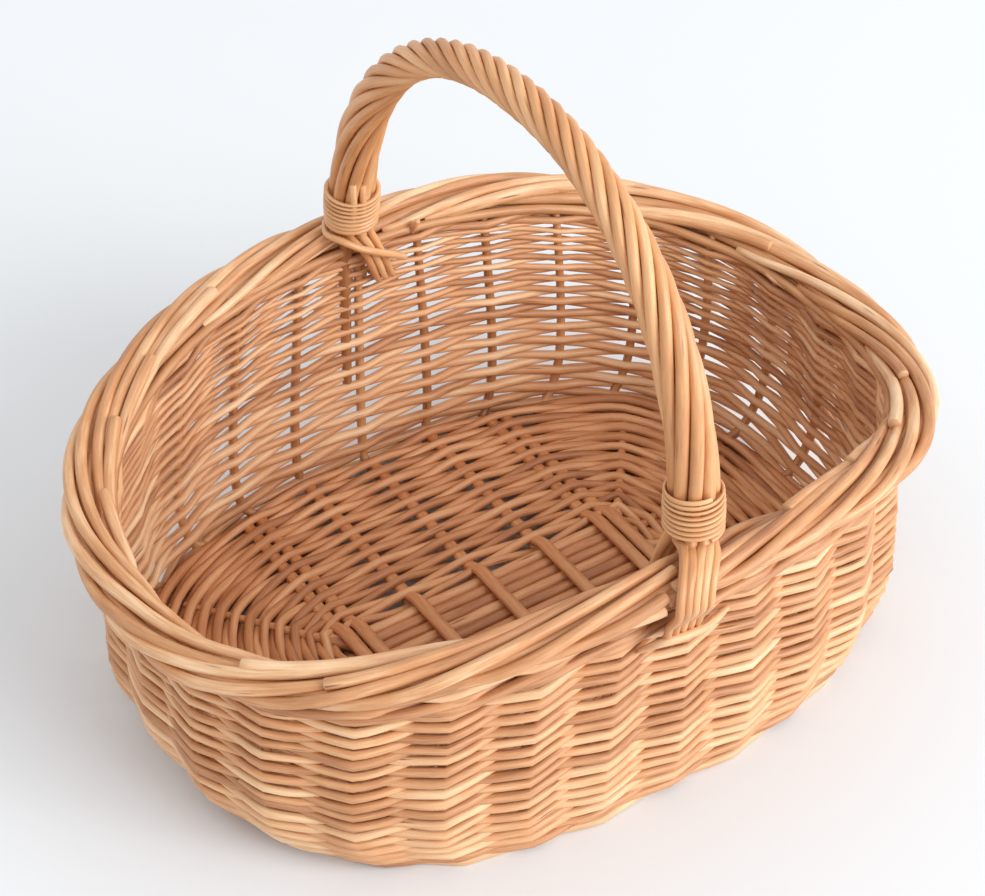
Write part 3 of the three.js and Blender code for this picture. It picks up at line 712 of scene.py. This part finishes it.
# Turns round the border's section, and how far each lies along the orbit
turn_table = np.radians(np.linspace(BORDER_START, BORDER_END, 561))
arc_across = np.diff(BORDER_ORBIT[0] * np.cos(turn_table))
arc_up = np.diff(BORDER_ORBIT[1] * np.sin(turn_table))
arc_table = np.concatenate([[0], np.cumsum(np.hypot(arc_across, arc_up))])


def turn_at(arc):
    return np.interp(arc, arc_table, turn_table)


def arc_at(degrees):
    return float(np.interp(math.radians(degrees), turn_table, arc_table))


def border_rod(start, from_turn, to_turn, radii, lifts, slope):
    arcs = arc_at(from_turn), arc_at(to_turn)
    length = (arcs[1] - arcs[0]) / slope
    count = max(int(length * 10), 14)
    share = np.linspace(0, 1, count)
    place = start + length * share
    arc = arcs[0] + (arcs[1] - arcs[0]) * share + wander(place, 0.45, (3, 12))
    lift = np.interp(share, np.linspace(0, 1, len(lifts)), lifts) + wander(place, 0.35, (3, 14))
    radius = np.interp(share, np.linspace(0, 1, len(radii)), radii) * rng.uniform(0.85, 1.0)
    return parted(border_point(place, turn_at(arc), lift), radius)


# Rods that meet the front foot of the handle stop at its near side and go on, lower, beneath the strands
def parted(line, radius):
    reach = np.clip(-line[:, 1] - PART_Y, -8, 13)
    beyond = line[:, 0] + PART_X + PART_LEAN * reach
    there = (line[:, 1] < -141) & (line[:, 2] > 146)
    crossing = np.flatnonzero(there[1:] & (beyond[:-1] < 0) & (beyond[1:] >= 0))
    if len(crossing) == 0:
        return [rod(line, radius)]
    i = int(crossing[0])
    part = beyond[i] / (beyond[i] - beyond[i + 1])
    end = line[i] + (line[i + 1] - line[i]) * part
    after = line[i + 1:].copy()
    keep = beyond[i + 1:] > PART_GAP
    inward = np.array([0, -150, BORDER_MIDDLE]) - after * (0, 1, 1)
    inward /= np.linalg.norm(inward, axis=1, keepdims=True)
    after += inward * (PART_DEPTH * (1 - smooth(beyond[i + 1:], PART_GAP, 34)))[:, None]
    rods = [rod(np.vstack([line[:i + 1], end]), np.append(radius[:i + 1], radius[i]))]
    if keep.sum() > 3:
        rods.append(rod(after[keep], radius[i + 1:][keep]))
    return rods


# Rods at the heart of the border, and some round it that close its lower side over the stakes' tops
def border_core():
    rods = []
    stations = np.arange(0, STAKE_COUNT, 0.25)
    for q in range(CORE_RODS):
        turn = 2 * np.pi * (stations * CORE_TURNS / STAKE_COUNT + q / CORE_RODS)
        line = border_point(stations, turn, np.full(len(turn), CORE_LIFT))
        rods.append(rod(line, CORE_RADIUS, closed=True))
    for degrees, lift, radius in LINING:
        turn = np.full(len(stations), math.radians(degrees)) + wander(stations, 0.08)
        line = border_point(stations, turn, lift + wander(stations, 0.3))
        rods.append(rod(line, radius, closed=True))
    return rods


# One rod for each stake: whole, or ending at a butt where another starts over it
def border_rods():
    rods = []
    for k in range(STAKE_COUNT):
        start = k + rng.uniform(-0.12, 0.12)
        high = rng.uniform(-0.5, 0.6)
        if k not in BUTTS:
            lifts = (-3.6, high - 0.3, high, high, high, 0.2, -2.0)
            end = rng.uniform(196, 208)
            rods += border_rod(start, BORDER_START, end, WHOLE_RADII, lifts, BORDER_SLOPE)
            continue
        place, turn = BUTTS[k]
        slope = (arc_at(turn) - arc_at(BORDER_START)) / (place - start)
        lifts = (-3.6, high - 0.3, high, high, high - 0.4, -3.4)
        rods += border_rod(start, BORDER_START, turn + BUTT_OVERLAP, ENDING_RADII, lifts, slope)
        end = rng.uniform(192, 204)
        rods += border_rod(place, turn, end, STARTING_RADII, STARTING_LIFTS, rng.uniform(5.2, 6.2))
    rods.append(rod(PEG, PEG_RADIUS, hint=(1, 0, 0), tone=0.9))
    return rods


piece("border_rods", border_rods(), ["border"], border_willow, sides=10)
piece("border_core", border_core(), ["border"], stake_willow)


# Base: a bundle of long rods whose ends spread as spokes, slit cross sticks, and rows of randing
def base_edge(direction_angle):
    oval_at = lambda a: stake_oval(a, BASE_MID / wall_height(a))
    return oval_at(direction_angle) - BASE_INSET * outward(oval_at, direction_angle)


edge_angles = np.linspace(0, 2 * np.pi, 2881)
edge_line = base_edge(edge_angles)


# The point of the base's edge that lies in a direction
def edge_from(start, direction):
    start, direction = np.array(start, float), np.array(direction, float) / np.hypot(*direction)
    offset = edge_line - start
    along = offset @ direction
    across = offset @ np.array([-direction[1], direction[0]])
    across[along < 0] = 1e9
    best = int(np.argmin(np.abs(across)))
    return edge_line[best]


# The spokes that the rows pass over and under, in turn round the base: four at each end, five at each side
def spokes():
    made = []

    for side, ahead in ((1, 0), (-1, 180)):
        for turn in SPOKE_TURNS:
            angle = math.radians(ahead + turn)
            direction = (math.cos(angle), math.sin(angle))
            x = side * BUNDLE_HALF_LENGTH + SPOKE_START * direction[0]
            y = side * BUNDLE_HALF_WIDTH * turn / SPOKE_TURNS[-1]
            made.append(((x, y), direction))
        for x in SIDE_SPOKE_X:
            made.append(((side * x, side * SIDE_SPOKE_Y), (0, side)))
    return [(np.array(s), edge_from(s, d)) for s, d in made]


BASE_SPOKES = spokes()


# A row of the base: straight from spoke to spoke near the bundle, and along the oval near its edge
def base_row(j):
    share = (j + 0.5) / BASE_ROWS
    line, lifts = [], []
    count = len(BASE_SPOKES)
    for k in range(count):
        (a, edge_a), (b, edge_b) = BASE_SPOKES[k], BASE_SPOKES[(k + 1) % count]
        low = edge_angles[int(np.argmin(np.hypot(*(edge_line - edge_a).T)))]
        high = edge_angles[int(np.argmin(np.hypot(*(edge_line - edge_b).T)))]
        if high < low - math.pi:
            high += 2 * math.pi
        if low > high + math.pi:
            low -= 2 * math.pi
        for i in range(BASE_STEPS):
            t = i / BASE_STEPS
            inner = a + (b - a) * t
            outer = base_edge(np.array(low + (high - low) * t))
            line.append(inner + (outer - inner) * share)
            lifts.append(2 * math.asin(0.985 * math.cos(math.pi * (k + j + t))) / math.pi)
    line, lifts = np.array(line), np.array(lifts)
    spread = wander(np.linspace(0, STAKE_COUNT, len(line), endpoint=False), 0.4)
    ends = smooth(np.abs(line[:, 0]), 80, 125)
    height = BASE_MID + (BASE_SWING - BASE_SWING_LOSS * share) * lifts + spread
    radius = (BASE_ROD + BASE_ROD_GAIN * ends) * rng.uniform(0.9, 1.12)
    return rod(np.column_stack([line + spread[:, None] * 0.5, height]), radius, closed=True)


base_rows = [base_row(j) for j in range(BASE_ROWS)]
piece("base_weave_rods", base_rows, ["base_weave"], base_willow, 7)


# A long rod: straight in the bundle, and out along a spoke at each end
def long_rod(i):
    y = (i - 3) * BUNDLE_PITCH
    ends = []
    for spoke in (LEFT_SPOKES[i], RIGHT_SPOKES[i]):
        start, end = BASE_SPOKES[spoke]
        ends.append([(*(start + (end - start) * share), BASE_MID) for share in SPOKE_REACH])
    left, right = ends
    line = left[::-1]
    for x in np.linspace(-80, 80, 15):
        line.append((x, y + rng.uniform(-0.25, 0.25), BASE_MID + rng.uniform(-0.2, 0.2)))
    line += right
    count = len(line)
    radius = np.interp(np.arange(count), [0, 2, count - 3, count - 1], [1.9, 3.1, 3.25, 2.0])
    return rod(line, radius * rng.uniform(0.97, 1.04))


for i in range(7):
    name = f"base_long_rod_{i + 1}"
    piece(f"{name}_willow", [long_rod(i)], [name], base_willow)


def stick_half_length(x):
    share = abs(x) / FOOT_OVAL[0]
    edge = FOOT_OVAL[1] * (1 - share ** BASE_SQUARENESS) ** (1 / BASE_SQUARENESS)
    return edge - BASE_INSET - STICK_GAP


# A cross stick is slit in the middle: one half passes over the bundle and one under it
def cross_stick(x):
    half = stick_half_length(x)
    ys = np.array([-half, -60, -40, -33, -27, -22, -12, 0, 12, 22, 27, 33, 40, 60, half])
    part = 1 - smooth(np.abs(ys), 22, 34)
    flats = 0.5 + 0.08 * part
    rods = []
    for sign in (1, -1):
        heights = BASE_MID + sign * (0.4 + 5.0 * part)
        points = np.column_stack([np.full(len(ys), x), ys, heights])
        rods.append(rod(points, STICK_RADIUS * (1 - 0.1 * np.abs(ys) / half), flat=flats, tone=0.45))
    return rods


for i, x in enumerate(STICK_X):
    name = f"base_cross_stick_{i + 1}"
    piece(f"{name}_willow", cross_stick(x), [name], base_willow)


# Handle: the arch, and a point round it at an angle that is 0 on its outer side
arch_turn = np.linspace(ARCH_START, math.pi - ARCH_START, 2001)
arch_section = superellipse(arch_turn, ARCH_HALF_WIDTH, ARCH_RISE, ARCH_SQUARENESS)
arch_x = -HANDLE_SKEW * np.cos(arch_turn)
arch_line = np.column_stack([arch_x, arch_section[:, 0], ARCH_FOOT + arch_section[:, 1]])
arch_run = np.concatenate([[0], np.cumsum(np.linalg.norm(np.diff(arch_line, axis=0), axis=1))])
ARCH_LENGTH = arch_run[-1]


# A point of the arch and its direction there
def arch_at(share):
    run = np.asarray(share) * ARCH_LENGTH
    point, ahead, back = (np.stack([np.interp(run + step, arch_run, arch_line[:, i]) for i in range(3)], -1)
                          for step in (0, 0.5, -0.5))
    tangent = ahead - back
    return point, tangent / np.linalg.norm(tangent, axis=-1, keepdims=True)


def round_arch(share, distance, turn):
    point, tangent = arch_at(share)
    outer = np.cross(tangent, [1, 0, 0])
    outer /= np.linalg.norm(outer, axis=-1, keepdims=True)
    distance = np.asarray(distance)[..., None]
    turn = np.asarray(turn)[..., None]
    return point + outer * distance * np.cos(turn) - np.array([1, 0, 0]) * distance * np.sin(turn)


# A value that is less at the top of the arch than at its feet
def along_arch(pair, share):
    return pair[0] - pair[1] * smooth(np.minimum(share, 1 - share), 0.07, 0.4)


# Strand foot, from the handle to the tip: over the border or down inside it, then in against the wall
def strand_foot(side, turn):
    wrapped = math.atan2(math.sin(turn), math.cos(turn))
    outside = math.cos(turn) > -0.1
    lane = -wrapped / (math.pi / 4) if outside else -np.sign(round(math.sin(turn) * 10))
    x = -side * HANDLE_SKEW + lane * STRAND_LANE
    lean = side * STRAND_LEAN - lane * STRAND_CLOSING
    sign = 1 if outside else -1

    def by_border(out, height, share):
        return (x + share * lean, side * (RIM_HALF_WIDTH - BORDER_HALF_WIDTH + out), height)

    def by_wall(height, standoff, share):
        return (x + share * lean, wall_point(side * math.pi / 2, height, sign * standoff)[1], height)

    if outside:
        first = 0.17 - 0.035 * lane * side
        path = [by_border(-0.2 * FOOT_EDGE, RIM_HEIGHT + 3.0, first)] if abs(lane) > 1.5 else []
        path += [by_border(out * FOOT_EDGE, height, share) for out, height, share in FOOT_OVER_BORDER]
        return path + [by_wall(*point) for point in FOOT_OUTSIDE]
    under_arch = ARCH_HALF_WIDTH - STRAND_ORBIT[0] - RIM_HALF_WIDTH + BORDER_HALF_WIDTH
    return [by_border(under_arch, BORDER_MIDDLE, 0.32)] + [by_wall(*point) for point in FOOT_INSIDE]


# A strand turns slowly at the feet of the arch and fast over its top
def handle_strand(k):
    start_turn = k * 2 * math.pi / STRAND_COUNT
    share = np.linspace(0, 1, 78)
    turn = start_turn + STRAND_TWIST * (share - STRAND_EASING * np.sin(2 * np.pi * share) / (2 * np.pi))
    middle = round_arch(share, along_arch(STRAND_ORBIT, share), turn)
    back = np.array(strand_foot(1, start_turn)[::-1])
    front = np.array(strand_foot(-1, start_turn + STRAND_TWIST))
    lead = spline(np.vstack([back, middle[:2]]), 4)
    tail = spline(np.vstack([middle[-2:], front]), 4)
    line = np.vstack([lead[:-5], middle[1:-1], tail[5:]])
    lead_radius = np.interp(np.arange(len(lead) - 5), [0, 0.8 * len(lead), len(lead)], STRAND_TIP_RADII)
    tail_radius = np.interp(np.arange(len(tail) - 5), [0, 0.2 * len(tail), len(tail)], STRAND_TIP_RADII[::-1])
    radius = np.concatenate([lead_radius, along_arch(STRAND_RADIUS, share[1:-1]), tail_radius])
    return rod(line, radius * rng.uniform(0.98, 1.03), hint=(1, 0, 0))


stubs = [rod(points, STUB_RADIUS, hint=(1, 0, 0), tone=tone) for points, tone in zip(STUBS, STUB_TONES)]

for k in range(STRAND_COUNT):
    name = f"handle_strand_{k + 1}"
    rods = [handle_strand(k)] + (stubs if k == 0 else [])
    piece(f"{name}_willow", rods, [name], strand_willow, 10)

# Bow: the core rod under the strands, with a tail down in each wall
bow_share = np.linspace(0, 1, 60)
bow_line = round_arch(bow_share, np.zeros(60), np.zeros(60))
tails = {}
for side in (1, -1):
    tails[side] = [(-side * BOW_TAIL_OFFSET, wall_point(side * math.pi / 2, height, 0)[1], height)
                   for height in BOW_TAIL_HEIGHTS]
bow_points = np.vstack([tails[1], bow_line, tails[-1][::-1]])
bow_radius = np.concatenate([BOW_TAIL_RADII, along_arch(BOW_RADIUS, bow_share), BOW_TAIL_RADII[::-1]])
bow = rod(bow_points, bow_radius, hint=(1, 0, 0))
piece("handle_bow_rod", [bow], ["handle_bow"], stake_willow)


def binding(start):
    steps = np.arange(BINDING_LOOPS * LOOP_STEPS + 1)
    share = start + BINDING_PITCH * steps / LOOP_STEPS / ARCH_LENGTH
    line = round_arch(share, np.full(len(steps), BINDING_ORBIT), 2 * np.pi * steps / LOOP_STEPS)
    _, tangent = arch_at(share[0])
    hint = tuple(np.cross(tangent, [1, 0, 0]))
    return rod(line, BINDING_RADIUS, flat=BINDING_FLAT, hint=hint, tone=0.7)


back_start = BINDING_RISE / ARCH_LENGTH
front_start = 1 - back_start - BINDING_LOOPS * BINDING_PITCH / ARCH_LENGTH
loose_line = spline(LOOSE_TAIL, 6)
loose_radius = np.interp(np.arange(len(loose_line)), *LOOSE_RADII)
loose_cane = rod(loose_line, loose_radius, flat=0.85, tone=0.6)
for place, rods in (("back", [binding(back_start), loose_cane]), ("front", [binding(front_start)])):
    name = f"handle_binding_{place}"
    piece(f"{name}_cane", rods, [name], cane)

# Floor
corners = [(x * FLOOR_HALF, y * FLOOR_HALF, 0) for x, y in ((-1, -1), (1, -1), (1, 1), (-1, 1))]
floor_mesh = bpy.data.meshes.new("floor")
floor_mesh.from_pydata(corners, [], [(0, 1, 2, 3)])
floor = bpy.data.objects.new("floor", floor_mesh)
bpy.context.scene.collection.objects.link(floor)
floor_paint = bpy.data.materials.new("floor_paint")
floor_paint.use_nodes = True
floor_shader = floor_paint.node_tree.nodes["Principled BSDF"]
floor_shader.inputs["Base Color"].default_value = FLOOR_COLOUR
floor_shader.inputs["Roughness"].default_value = 0.9
floor_shader.inputs["Specular IOR Level"].default_value = 0.0
floor_mesh.materials.append(floor_paint)

# Light: a plain surround, white where it is seen, and two soft lamps from the right of the camera
world = bpy.data.worlds.new("surround")
bpy.context.scene.world = world
world.use_nodes = True
world_nodes, world_links = world.node_tree.nodes, world.node_tree.links
background = world_nodes["Background"]
background.inputs["Color"].default_value = (1, 1, 1, 1)
rays = world_nodes.new("ShaderNodeLightPath")
seen = world_nodes.new("ShaderNodeMath")
seen.operation = "MAXIMUM"
world_links.new(rays.outputs["Is Camera Ray"], seen.inputs[0])
world_links.new(rays.outputs["Is Glossy Ray"], seen.inputs[1])
seen_too = world_nodes.new("ShaderNodeMath")
seen_too.operation = "MAXIMUM"
world_links.new(seen.outputs[0], seen_too.inputs[0])
world_links.new(rays.outputs["Is Transmission Ray"], seen_too.inputs[1])
strength = world_nodes.new("ShaderNodeMapRange")
strength.inputs["To Min"].default_value = SURROUND_LIGHT
strength.inputs["To Max"].default_value = SURROUND_SEEN
world_links.new(seen_too.outputs[0], strength.inputs["Value"])
world_links.new(strength.outputs[0], background.inputs["Strength"])


def lamp(name, place, target, size, power):
    data = bpy.data.lights.new(name, "AREA")
    data.shape = "DISK"
    data.size = size
    data.energy = power
    made = bpy.data.objects.new(name, data)
    made.location = place
    made.rotation_euler = (Vector(target) - Vector(place)).to_track_quat("-Z", "Y").to_euler()
    bpy.context.scene.collection.objects.link(made)


right = Vector((math.cos(AZIMUTH), math.sin(AZIMUTH), 0))
toward = Vector((math.sin(AZIMUTH), -math.cos(AZIMUTH), 0))
lamp("high", right * 3.2 + toward * 2.4 + Vector((0, 0, 2.7)), (0, 0, 0.1), 3.0, HIGH_LAMP_POWER)
lamp("low", right * 4.4 + toward * 1.2 + Vector((0, 0, 1.2)), (0, 0, 0.08), 2.2, LOW_LAMP_POWER)

# Camera
target = Vector(TARGET) * MM
back = toward * math.cos(ELEVATION) + Vector((0, 0, math.sin(ELEVATION)))
up = right.cross(-back)
rolled_right = right * math.cos(ROLL) + up * math.sin(ROLL)
rolled_up = up * math.cos(ROLL) - right * math.sin(ROLL)
camera_data = bpy.data.cameras.new("camera")
camera_data.sensor_width = SENSOR_WIDTH
camera_data.lens = FOCAL_PIXELS / PHOTO_WIDTH * SENSOR_WIDTH
camera = bpy.data.objects.new("camera", camera_data)
axes = Matrix((rolled_right, rolled_up, back)).transposed().to_4x4()
camera.matrix_world = Matrix.Translation(target + back * DISTANCE) @ axes
bpy.context.scene.collection.objects.link(camera)
bpy.context.scene.camera = camera
bpy.context.scene.view_settings.view_transform = "Standard"
